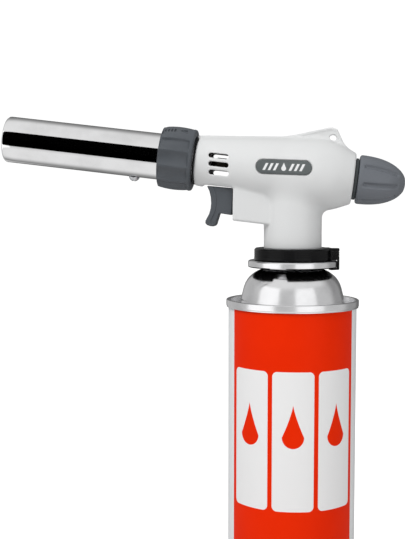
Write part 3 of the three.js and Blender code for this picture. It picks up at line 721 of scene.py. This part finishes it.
# Along the barrel's axis: its two ends, and its radius at the front, at the shoulder and at the rear.
BODY_FRONT = -49.5
BODY_REAR = 30.7
FRONT_RADIUS = 12.5
SHOULDER_RADIUS = 19.0
SHOULDER_AT = 17.15
REAR_RADIUS = 12.9
COLUMN_LOW = 190.0
COLUMN_RADIUS = 14.8
WALL = 1.8
SCREW_PLACES = [(-38, 242.4), (12, 240), (9.6, 207), (-20.5, 206.2)]
SCREW_SEAT = 6.0
SLOTS_X = -37.0
SLOTS_Z = 232.6
SLOT_PITCH = 4.2
HOUSING_HALF = 9.8
TRIGGER_SPRING_AT = (-30, 214.5)


def barrel(x, y, z):
    """Two cones that meet in a rounded shoulder."""
    along, across, up = barrel_space(x, y, z)
    radius = length(across, up) - SHOULDER_RADIUS
    widening = (SHOULDER_RADIUS - FRONT_RADIUS) / (SHOULDER_AT - BODY_FRONT)
    narrowing = (SHOULDER_RADIUS - REAR_RADIUS) / (BODY_REAR - SHOULDER_AT)
    front = (radius + (SHOULDER_AT - along) * widening) / math.hypot(1, widening)
    rear = (radius + (along - SHOULDER_AT) * narrowing) / math.hypot(1, narrowing)
    cones = smooth_max(front, rear, 4.5)
    return smooth_max(cones, np.maximum(BODY_FRONT - along, along - BODY_REAR), 1.0)


def core(x, y, z):
    """Barrel, column and trigger housing, blended as they are moulded."""
    column = smooth_max(length(x, y) - COLUMN_RADIUS, COLUMN_LOW - z, 0.6)
    column = np.maximum(column, z - BARREL_Z)
    housing_outline = [(-29.9, 228), (-31.1, 204.4), (-12, 202.2), (-4, 202.2), (-4, 228)]
    housing = extruded(rounded_polygon(x, z, housing_outline, 0.8), y, HOUSING_HALF, 1.2)
    body = smooth_min(barrel(x, y, z), column, 4.0)
    return smooth_min(body, housing, 0.9)


def recess(x, z, grow=0.0):
    """The space under the barrel that the trigger slides along."""
    outline = [(-46.5 - grow, 180), (-46.5 - grow, 222.7 + grow), (-30.2, 221.0 + grow), (-30.2, 180)]
    return rounded_polygon(x, z, outline, 1.3)


def fin(x, y, z):
    """The hanging fin, which runs on along the top as a low rib."""
    outline = [(-48.8, 236), (-48.8, 247.35), (-26, 246.75), (-5.4, 246.45), (17.4, 251.1), (19.6, 251.3),
               (22.2, 250.4), (27.0, 239.9), (24, 228), (0, 228)]
    face = rounded_polygon(x, z, outline, 0.9)
    plate = extruded(face, y, 2.6, 0.6)
    panel = np.maximum(np.maximum(face + 1.3, -(face + 8)), 2.25 - np.abs(y))
    plate = smooth_max(plate, -panel, 0.25)
    hole = 1.85 - length(x - 20.0, z - 245.8)
    return smooth_max(plate, hole, 0.35)


def outer_body(x, y, z):
    """The whole outside of the body."""
    whole = smooth_max(core(x, y, z), -recess(x, z), 0.8)
    return smooth_min(whole, fin(x, y, z), 2.2)


def slots(x, z):
    """The three air slots, one above the other."""
    nearest = 1e9
    for row in (-1, 0, 1):
        along, across = tilted(x - SLOTS_X, z - SLOTS_Z - row * SLOT_PITCH, TILT)
        nearest = np.minimum(nearest, pill(along, across, 10.3, 2.4))
    return nearest


def badge_outline(x, z, margin=0.0):
    """The badge as seen from its own side, grown by a margin."""
    along, across = tilted(x - BADGE[0], z - BADGE[1], BADGE_TILT)
    return pill(along, across, BADGE_LENGTH + 2 * margin, BADGE_HEIGHT + 2 * margin)


def shell(x, y, z):
    """Both moulded halves as one hollow wall, with its screw posts and every opening."""
    outer = outer_body(x, y, z)
    inner = smooth_max(core(x, y, z) + WALL, -recess(x, z, WALL), 0.8)
    wall = smooth_max(outer, -inner, 0.4)
    for screw_x, screw_z in SCREW_PLACES:
        reach = length(x - screw_x, z - screw_z)
        post = smooth_max(smooth_max(reach - 3.5, SCREW_SEAT - 1.2 - y, 0.2), outer, 0.3)
        wall = smooth_min(wall, post, 0.5)
        wall = smooth_max(wall, -np.maximum(reach - 2.6, SCREW_SEAT - y), 0.4)
    wall = smooth_max(wall, -slots(x, z), 0.5)
    along, across, up = barrel_space(x, y, z)
    radius = length(across, up)
    front_bore = np.maximum(radius - 10.9, along - (BODY_FRONT + 4))
    wall = smooth_max(wall, -front_bore, 0.5)
    rear_bore = np.maximum(radius - 7.3, (BODY_REAR - 4) - along)
    wall = smooth_max(wall, -rear_bore, 0.4)
    trigger_mouth = np.maximum(np.abs(y) - 6.8, np.maximum(np.abs(x + 30.5) - 3.5, np.abs(z - 213.6) - 7.7))
    wall = smooth_max(wall, -trigger_mouth, 0.5)
    column_bore = np.maximum(length(x, y) - 13.1, z - COLUMN_LOW - 5)
    wall = smooth_max(wall, -column_bore, 0.4)
    badge_pocket = smooth_max(badge_outline(x, z, 0.25), -(core(x, y, z) + 0.7), 0.1)
    return smooth_max(wall, -smooth_max(badge_pocket, y, 0.1), 0.35)


def left_half(x, y, z):
    return smooth_max(shell(x, y, z), y + 0.05, 0.45)


def right_half(x, y, z):
    return smooth_max(shell(x, y, z), 0.05 - y, 0.45)


def shells():
    step = 0.42
    left = field_object("left_shell_moulding", left_half, [-52, -19, 189], [34, 0.5, 253], step)
    right = field_object("right_shell_moulding", right_half, [-52, -0.5, 189], [34, 19, 253], step)
    stands_for(left, "left_shell")
    stands_for(right, "right_shell")


def badge():
    """A pill-shaped plate that follows the body's skin, set in its pocket."""
    def field(x, y, z):
        plate = smooth_max(badge_outline(x, z), np.abs(core(x, y, z) + 0.05) - 0.45, 0.35)
        return np.maximum(plate, y)

    obj = field_object("badge_plate", field, [-19, -18.6, 226], [12, -13, 237], 0.22)
    stands_for(obj, "badge", printed_badge("printed_badge"))


def pan_head(name, node, origin, outward, radius, height):
    """A domed screw head with a cross recess, and its shank."""
    basis = np.array(Vector(outward).normalized().to_track_quat("Z", "Y").to_matrix())
    origin = np.array(origin)
    ball = (radius * radius + height * height) / (2 * height)

    def field(x, y, z):
        offsets = (x - origin[0], y - origin[1], z - origin[2])
        side, ahead, up = (sum(offset * basis[i][k] for i, offset in enumerate(offsets)) for k in range(3))
        reach = length(side, ahead)
        dome = length(reach, up - height + ball) - ball
        head = smooth_max(smooth_max(reach - radius, dome, 0.25), -up, 0.2)
        arms = np.maximum(np.minimum(np.abs(side), np.abs(ahead)) - 0.32, reach - radius * 0.62)
        head = smooth_max(head, -np.maximum(arms, height * 0.35 - up), 0.12)
        shank = np.maximum(reach - 1.15, np.maximum(up - 0.3, -2.6 - up))
        return smooth_min(head, shank, 0.1)

    size = radius + 2.6
    stands_for(field_object(name, field, origin - size, origin + size, 0.16), node)


def body_screws():
    for number, (x, z) in enumerate(SCREW_PLACES, 1):
        node = f"body_screw_{number}"
        pan_head(f"{node}_head", node, (x, SCREW_SEAT + 0.1, z), (0, 1, 0), 2.3, 1.4)


# ---- burner and ring


TUBE_RADIUS = 11.95


def burner_tube():
    """The flame tube, 0.8 mm thick, with its mouth rolled in."""
    outer, front, rear = TUBE_RADIUS, -150.7, -60.3
    outside = [(outer, rear + (front + 1.2 - rear) * i / 20) for i in range(21)]
    lip = [(outer, front + 1.2), (outer - 0.25, front + 0.45), (outer - 0.8, front),
           (outer - 1.5, front + 0.1), (outer - 2.0, front + 0.6), (outer - 2.1, front + 1.3),
           (outer - 1.7, front + 2.2), (outer - 0.8, front + 3.2)]
    profile = [(outer - 0.8, rear)] + outside + spline(lip, 5)[1:]
    stands_for(turned_object("burner_tube_polished", profile, 192, True, 50), "burner_tube")


def tube_screw():
    """The screw under the flame tube."""
    pan_head("tube_screw_head", "tube_screw", barrel_point(-81.5, 0, -TUBE_RADIUS), (-SIN_TILT, 0, -COS_TILT),
             2.85, 2.3)


def air_ring():
    """Grip ring, thickest in its middle: twelve broad flutes, and a smooth pad with two sunk marks."""
    front, rear, widest, front_radius, rear_radius = -68.4, -51.0, 16.45, 15.5, 15.55
    flutes, flute_depth, flute_curve = 12, 1.5, 9.8
    pad_turn = math.radians(121)

    def field(x, y, z):
        along, across, up = barrel_space(x, y, z)
        radius = length(across, up)
        turn = np.arctan2(up, across)
        share = (along - front) / (rear - front) * 2 - 1
        ends = np.where(share < 0, front_radius, rear_radius)
        skin = widest + (ends - widest) * np.minimum(share * share, 1.2)
        side = offset_signed(turn * flutes, 0.4) / flutes * skin
        sag = flute_depth - side * side / flute_curve
        edge = np.clip(np.minimum(along - front + 0.2, rear - 1.5 - along) / 1.0, 0, 1)
        pad_side = np.abs(offset_signed(turn, pad_turn)) * widest - 6.4
        pad = smooth_max(pad_side, np.abs(along - front - 8.9) - 7.6, 1.5)
        depth = np.maximum(sag, 0) * edge * edge * (3 - 2 * edge) * np.clip(pad / 0.9 + 0.5, 0, 1)
        outer = smooth_max(radius + depth - skin, np.maximum(front - along, along - rear), 0.9)
        marks = mark_pair(along, offset_signed(turn, pad_turn) * widest, front)
        outer = smooth_max(outer, -np.maximum(marks, skin - 0.7 - radius), 0.15)
        bore = np.where(along < -59.5, radius - 12.3, radius - 10.95)
        return smooth_max(outer, -bore, 0.5)

    low, high = node_box("air_ring")
    obj = field_object("air_ring_moulding", field, low - 1, high + 1, 0.34)
    stands_for(obj, "air_ring")


def offset_signed(turn, centre):
    """How far an angle is from another one, between half a turn back and half a turn ahead."""
    return (turn - centre + math.pi) % (2 * math.pi) - math.pi


def mark_pair(along, across, front):
    """Two small sunk marks: a row of ticks and an arrowhead, which show the way to turn."""
    ticks = np.maximum(np.abs((along - front - 4.6) % 1.6 - 0.8) - 0.38, np.abs(along - front - 4.6) - 2.9)
    ticks = np.maximum(ticks, np.abs(across) - 1.6)
    arrow = np.maximum(np.abs(across) - (along - front - 9.4) * 0.55, along - front - 13.2)
    return np.minimum(ticks, arrow)


def ring_washer():
    profile = filleted([(10.95, -50.6), (12.3, -50.6), (12.3, -49.8), (10.95, -49.8)], 0.1)
    stands_for(turned_object("ring_washer_disc", profile, 96, True), "ring_washer")


def flame_holder():
    """A disc with two rings of holes, a gas hole in the middle, and one for the spark wire."""
    front, rear = -101.5, -97.0

    def field(x, y, z):
        along, across, up = barrel_space(x, y, z)
        radius = length(across, up)
        disc = turned(along, radius, [(front, 0.001), (front, 10.8), (rear, 10.8), (rear, 0.001)], 0.5)
        holes = radius - 2.4
        # Counted from the bottom, where the outer ring leaves its first place to the spark wire.
        for first, count, ring, size in ((1, 8, 7.6, 1.3), (0, 12, 4.6, 0.55)):
            for i in range(first, count):
                turn = -math.pi / 2 + 2 * math.pi * i / count
                hole = length(across - ring * math.cos(turn), up - ring * math.sin(turn)) - size
                holes = np.minimum(holes, hole)
        holes = np.minimum(holes, length(across, up + 6.9) - 2.1)
        return smooth_max(disc, -holes, 0.3)

    low, high = node_box("flame_holder")
    stands_for(field_object("flame_holder_disc", field, low, high, 0.3), "flame_holder")


def electrode():
    """The spark wire, along the bottom of the tube and bent up at its tip."""
    below = -7.7
    path = [(-46, below), (-70, below), (-95, below), (-101, below), (-104, below + 0.3),
            (-105.6, below + 1.6), (-106.4, below + 3.2)]
    places = [barrel_point(along, 0, up) for along, up in path]
    stands_for(wire_object("electrode_wire", "NURBS", places, 0.5, 4), "electrode")


# ---- knob, trigger and collar


def knob():
    """Bullet-shaped flow knob with eight long grooves."""
    base, tip, widest = 32.7, 56.9, 12.4
    fullness = 2.38  # 2 is an ellipse, and more is blunter
    grooves = 8
    phase = math.radians(180 + 12)

    def field(x, y, z):
        along, across, up = barrel_space(x, y, z)
        radius = length(across, up)
        share = np.clip((along - base) / (tip - base), 0, 1)
        limit = widest * np.sqrt(np.clip(1 - share ** fullness, 0, 1))
        slope = np.sqrt(1 + (0.75 * share ** 1.4 / np.maximum(limit / widest, 0.3)) ** 2)
        body = (radius - limit) / slope
        body = smooth_max(body, base - along, 1.4)
        body = smooth_max(body, along - tip + 0.2, 0.8)
        turn = np.arctan2(up, across)
        side = np.abs(offset_signed(turn * grooves, phase * grooves)) / grooves * np.maximum(radius, 1)
        reach = np.maximum(np.maximum(along - 51.5, base + 3.6 - along), 0)
        groove = length(side, reach, np.maximum(limit - radius, 0) * 0.8) - 0.95
        body = smooth_max(body, -groove, 1.0)
        bore = np.maximum(radius - 2.5, along - 46)
        return np.maximum(body, -bore)

    low, high = node_box("knob")
    stands_for(field_object("knob_moulding", field, low - 0.5, high + 0.5, 0.3), "knob")


def knob_neck():
    profile = filleted([(3.0, 31.0), (10.5, 31.0, 0.2), (10.5, 32.4, 0.2), (3.0, 32.4)], 0.15)
    stands_for(turned_object("knob_neck_ring", profile, 96, True), "knob_neck")


def trigger():
    """The finger trigger, with a panel sunk in each side and a pocket for its spring."""
    outline = [(-43.7, 222.0), (-42.4, 219.2), (-41.7, 216.2), (-41.5, 213.0), (-41.8, 210.2), (-42.6, 207.5),
               (-44.4, 204.2), (-44.5, 202.9), (-43.6, 201.9), (-41.9, 201.3), (-40.2, 201.2), (-39.4, 202.0),
               (-38.6, 204.6), (-37.7, 207.4), (-37.0, 207.9), (-31.0, 207.0), (-30.2, 220.8)]

    def field(x, y, z):
        face = rounded_polygon(x, z, outline, 0.35)
        body = extruded(face, y, 6.5, 0.8)
        cheek = np.maximum(rounded_polygon(x - 2.6, z - 0.4, outline, 0.35) + 0.2, 6.05 - np.abs(y))
        body = smooth_max(body, -cheek, 0.3)
        along, across = tilted(x - TRIGGER_SPRING_AT[0], z - TRIGGER_SPRING_AT[1], TILT)
        pocket = np.maximum(length(y, across) - 3.9, -6.5 - along)
        return smooth_max(body, -pocket, 0.3)

    low, high = node_box("trigger")
    stands_for(field_object("trigger_moulding", field, low - 0.5, high + 0.5, 0.3), "trigger")


def coil(name, start, direction, height, turns, radius, wire):
    """A wire coil that climbs from its start, in millimetres from the cartridge's axis."""
    steps = 16 * turns
    turn_to = Vector(direction).to_track_quat("Z", "Y")
    path = []
    for i in range(steps + 1):
        turn = 2 * math.pi * turns * i / steps
        place = Vector((radius * math.cos(turn), radius * math.sin(turn), height * i / steps))
        path.append(Vector(start) + turn_to @ place)
    return wire_object(name, "POLY", path, wire, 3)


def trigger_spring():
    """It shortens as the trigger is pulled."""
    low, high = -5.8, 5.3
    x, z = TRIGGER_SPRING_AT
    start = (x + low * COS_TILT, 0, z - low * SIN_TILT)
    obj = coil("trigger_spring_coil", start, KNOB_JOINT["axis"], high - low, 6, 3.15, 0.35)
    stands_for(obj, "trigger_spring")
    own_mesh(obj)


def can_valve_spring():
    """It shortens as the stem is pressed."""
    low, high = node_box("can_valve_spring")
    wire = 0.3
    height = high[2] - low[2] - 2 * wire
    obj = coil("can_valve_spring_coil", (0, 0, low[2] + wire), (0, 0, 1), height, 5, 2.0, wire)
    stands_for(obj, "can_valve_spring")
    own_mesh(obj)


def bayonet_collar():
    """The collar under the body, with fine lines round it and the hook that grips the can's flange."""
    bottom, top = 184.15, 190.2
    ring_outline = [(6.4, bottom), (19.7, bottom), (19.7, top - 0.8), (18.9, top), (6.4, top)]
    hook_outline = [(16.5, bottom + 0.1), (23.0, bottom + 0.1), (23.0, 180.0), (18.7, 180.0), (18.7, 179.4),
                    (20.0, 179.1), (23.9, 179.3), (23.9, top - 0.1), (16.5, top - 0.1)]

    def field(x, y, z):
        radius = length(x, y)
        hook = rounded_polygon(radius, z, hook_outline, 0.25)
        hook = smooth_max(hook, np.abs(np.arctan2(y, x)) * radius - 4.3, 0.7)
        shape = smooth_min(rounded_polygon(radius, z, ring_outline, 0.4), np.maximum(hook, -x), 1.0)
        lines = np.abs((z - 185.6) % 1.15 - 0.575) - 0.14
        lines = np.maximum(lines, np.maximum(np.abs(z - 187.3) - 1.9, 19.45 - radius))
        return smooth_max(shape, -lines, 0.25)

    obj = field_object("bayonet_collar_moulding", field, [-20.5, -20.5, 178], [25.5, 20.5, 190.6], 0.3)
    stands_for(obj, "bayonet_collar")


# ---- pieces that keep their CAD shape


def finish_cad_nodes():
    """Every CAD node that no piece stands for gets the material of its slot, but the parts behind the air
    slots get metal painted near black as painted shade.
    """
    for name, obj in frame["nodes"].items():
        if obj.hide_render:
            continue
        obj.data.materials.clear()
        # The pipe, the jet and the mixing tube get metal painted near black: painted shade for the inside of
        # the body.
        obj.data.materials.append(PAINTED_SHADE_METAL if name in PAINTED_SHADE_NODES else MATERIALS[SLOT_OF[name]])


# ---- stage

CAMERA_AT = (13.4, -515, 217)  # in millimetres from the cartridge's axis
CAMERA_TOWARDS = (-0.1165, 1, -0.0745)
LENS = 66.8
FLOOR_GLOW = (0.0, 0.75)  # the floor's own light, for everything else and for the camera
# Black cards that only reflections see. The tube's is this far in front of its axis, with x and z corners.
FLAG_DISTANCE = 32
FLAG_CORNERS = [(-190, 271.1), (-64, 256.3), (-64, 218.9), (-190, 234.0)]
NECK_FLAG_RADII = (16.2, 24.8, 18.3)  # inner, outer, and outer in its gap
NECK_FLAG_Z = 179.9
FLAG_GAP = (-120, -99)  # degrees round the can's neck
FLAG_WIDER = 1.0  # to the left of the gap
SOFT_LIGHT = 0.44  # even light from all round
# What reflections see in front of the torch and behind it: the light changes from the first value near the
# level to the second above and below, between these degrees.
FRONT_EDGE = (25, 45)
FRONT_LIGHT = (0.62, 0.86)
REAR_EDGE = (20, 100)
REAR_LIGHT = (0.16, 0.78)
# Softboxes: the middle in degrees from straight in front, the half-width, and the strength.
SOFTBOXES = ((-55, 27, 1.25), (33, 26, 1.2), (-118, 40, 0.55), (103, 42, 0.33))


def staged_mesh(name, points, faces, material):
    """A piece of the studio, from points in millimetres."""
    mesh = bpy.data.meshes.new(name)
    mesh.from_pydata([tuple(c * MM for c in point) for point in points], [], faces)
    obj = bpy.data.objects.new(name, mesh)
    obj.data.materials.append(material)
    bpy.context.scene.collection.objects.link(obj)
    return obj


def floor():
    """A pale floor, which looks white to the camera only."""
    n = material_nodes("pale_floor")
    n.set("Base Color", (0.8, 0.8, 0.8, 1))
    n.set("Roughness", 0.9)
    n.set("Specular IOR Level", 0.1)
    n.set("Emission Color", (1, 1, 1, 1))
    lit = n.add("ShaderNodeLightPath").outputs["Is Camera Ray"]
    n.set("Emission Strength", n.ramp(lit, 0, 1, *FLOOR_GLOW))
    size = 6000
    corners = [(-size, -size, 0), (size, -size, 0), (size, size, 0), (-size, size, 0)]
    ground = staged_mesh("floor", corners, [(0, 1, 2, 3)], n.owner)
    ground.visible_glossy = False


def reflected_cards():
    """Black flags that only reflections see: one in front of the burner tube, one around the can's neck."""
    n = material_nodes("black_flag")
    unlit = n.add("ShaderNodeEmission")
    unlit.inputs["Strength"].default_value = 0.0
    n.join(unlit.outputs[0], n.tree.nodes["Material Output"].inputs["Surface"])
    corners = [(AXIS_X + x, -FLAG_DISTANCE, z) for x, z in FLAG_CORNERS]
    flag = staged_mesh("tube_flag", corners, [(0, 1, 2, 3)], n.owner)
    steps = 90
    inner, outer, shorter = NECK_FLAG_RADII
    points = []
    for i in range(steps):
        degrees = 360 * i / steps - 180
        reach = shorter if FLAG_GAP[0] < degrees < FLAG_GAP[1] else outer
        if degrees < FLAG_GAP[0]:
            reach += FLAG_WIDER
        for radius in (inner, reach):
            x, y, z = axis_point(radius, NECK_FLAG_Z, math.radians(degrees), False)
            points.append((AXIS_X + x, y, z))
    faces = [(2 * i, 2 * i + 1, (2 * i + 3) % (2 * steps), (2 * i + 2) % (2 * steps)) for i in range(steps)]
    neck = staged_mesh("neck_flag", points, faces, n.owner)
    for card in (flag, neck):
        card.visible_camera = False
        card.visible_diffuse = False
        card.visible_shadow = False
        card.visible_transmission = False


def area_light(name, at, target, size, power):
    """A soft lamp that reflections don't see."""
    data = bpy.data.lights.new(name, "AREA")
    data.shape = "RECTANGLE"
    data.size, data.size_y = size[0] * MM, size[1] * MM
    data.energy = power
    obj = bpy.data.objects.new(name, data)
    obj.location = Vector(at) * MM
    obj.rotation_mode = "QUATERNION"
    obj.rotation_quaternion = (Vector(target) - Vector(at)).to_track_quat("-Z", "Y")
    obj.visible_glossy = False
    bpy.context.scene.collection.objects.link(obj)


def world():
    """Even light all round. Reflections see a studio: brighter above and below, darkest behind the torch."""
    scene = bpy.context.scene
    scene.world = bpy.data.worlds.new("studio")
    scene.view_settings.view_transform = "Standard"
    n = Nodes(scene.world)
    x, y, z = n.split(n.add("ShaderNodeTexCoord").outputs["Generated"])
    level = n.absolute(n.math("DEGREES", n.math("ARCSINE", z)))
    turn = n.math("DEGREES", n.math("ARCTAN2", x, n.times(y, -1.0)))
    front = n.ramp(level, *FRONT_EDGE, *FRONT_LIGHT)
    rear = n.ramp(level, *REAR_EDGE, *REAR_LIGHT)
    seen = n.blend(n.ramp(y, 0.05, 0.6, 0, 1), front, rear)
    for middle, half, strength in SOFTBOXES:
        off = n.absolute(n.minus(turn, middle))
        box = n.times(n.ramp(off, half - 4, half + 4, 1, 0), n.ramp(level, 30, 50, 1, 0))
        seen = n.math("MAXIMUM", seen, n.times(box, strength))
    path = n.add("ShaderNodeLightPath")
    diffuse = n.plus(SOFT_LIGHT, n.times(path.outputs["Is Camera Ray"], 1.05 - SOFT_LIGHT))
    gloss = n.times(n.minus(seen, diffuse), path.outputs["Is Glossy Ray"])
    background = n.tree.nodes["Background"]
    n.join(n.plus(diffuse, gloss), background.inputs["Strength"])
    background.inputs["Color"].default_value = (1, 1, 1, 1)


def camera():
    data = bpy.data.cameras.new("camera")
    data.lens = LENS
    data.sensor_width = 36
    data.clip_start, data.clip_end = 0.01, 50
    obj = bpy.data.objects.new("camera", data)
    obj.location = Vector((CAMERA_AT[0] + AXIS_X, CAMERA_AT[1], CAMERA_AT[2])) * MM
    obj.rotation_mode = "QUATERNION"
    obj.rotation_quaternion = Vector(CAMERA_TOWARDS).to_track_quat("-Z", "Y")
    bpy.context.scene.collection.objects.link(obj)
    bpy.context.scene.camera = obj


camera()
world()
floor()
reflected_cards()
area_light("key", (-330, -560, 930), (0, 0, 200), (600, 600), 6.3)
area_light("fill", (500, -500, 250), (0, 0, 210), (500, 500), 0.7)

can_body()
can_dome()
can_base()
can_flange()
can_valve_cup()
shells()
badge()
body_screws()
burner_tube()
tube_screw()
air_ring()
ring_washer()
flame_holder()
electrode()
knob()
knob_neck()
trigger()
trigger_spring()
can_valve_spring()
bayonet_collar()
finish_cad_nodes()
